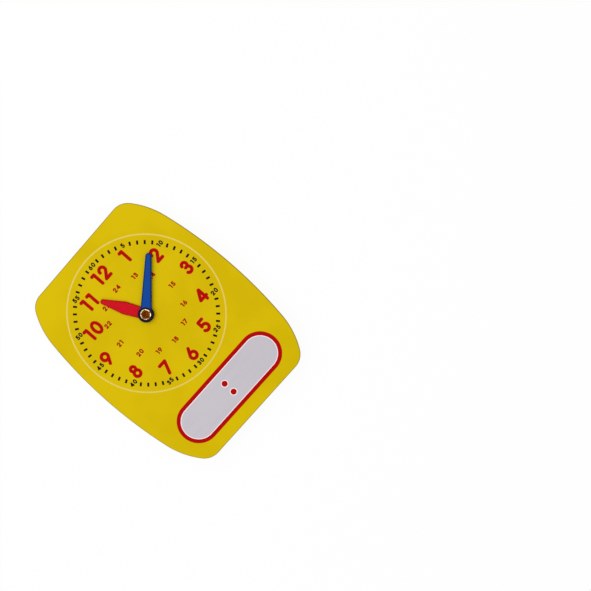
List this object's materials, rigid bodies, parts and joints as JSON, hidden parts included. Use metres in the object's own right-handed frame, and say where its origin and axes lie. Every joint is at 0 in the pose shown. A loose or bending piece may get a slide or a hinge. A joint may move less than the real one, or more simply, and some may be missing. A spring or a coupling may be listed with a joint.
{
  "type": "geared teaching clock",
  "caption": "Hand-size teaching clock: a bulged yellow plastic plate with a printed dial and a writing panel, geared hour and minute hands on a hollow brass eyelet, and a slim gearbox behind.",
  "frame": {"origin": "axis of the hands at the printed face of the dial plate", "axes": "+Z out of the dial along the arbor, +Y to twelve o'clock, +X to three o'clock"},
  "size_m": [0.1108, 0.1406, 0.0118],
  "materials": {
    "yellow_sheet": "satin yellow sheet with a low gloss",
    "white_ink": "thin pale print",
    "dark_ink": "black print",
    "red_ink": "red print",
    "panel_white": "glossy wipe-clean print",
    "blue_plastic": "moulded, satin",
    "red_plastic": "moulded, satin",
    "brass": "rolled and bright",
    "gear_plastic": "natural slippery plastic",
    "steel": "zinc plated",
    "box_plastic": "fine moulded texture, off-white",
    "foam_tape": "closed-cell foam"
  },
  "bodies": {
    "case": {"dial_plate": "yellow_sheet", "dial_ring": "white_ink", "minute_ticks": "dark_ink", "minute_numerals": "dark_ink", "hour_numerals": "red_ink", "day_hour_numerals": "red_ink", "writing_panel": "panel_white", "panel_border": "red_ink", "panel_colon": "red_ink", "adhesive_pad": "foam_tape", "gearbox_base": "box_plastic", "gearbox_cover": "box_plastic", "cover_screws": "steel", "transfer_pin": "steel", "friction_washer": "steel"},
    "minute_train": {"minute_hand": "blue_plastic", "hub_eyelet": "brass", "minute_arbor": "gear_plastic", "rear_washer": "brass"},
    "hour_train": {"hour_hand": "red_plastic", "hour_wheel": "gear_plastic"},
    "transfer_train": {"transfer_gear": "gear_plastic"}
  },
  "joints": [
    {"name": "minute_turn", "type": "hinge", "parent": "case", "child": "minute_train", "pos_m": [0, 0, 0], "axis": [0, 0, 1], "continuous": true},
    {"name": "hour_turn", "type": "hinge", "parent": "case", "child": "hour_train", "pos_m": [0, 0, 0], "axis": [0, 0, 1], "continuous": true},
    {"name": "transfer_turn", "type": "hinge", "parent": "case", "child": "transfer_train", "pos_m": [0, -0.018, 0], "axis": [0, 0, 1], "continuous": true}
  ],
  "couplings": [
    {"joint": "hour_turn", "follows": "minute_turn", "ratio": 0.083333},
    {"joint": "transfer_turn", "follows": "minute_turn", "ratio": -0.33333}
  ]
}
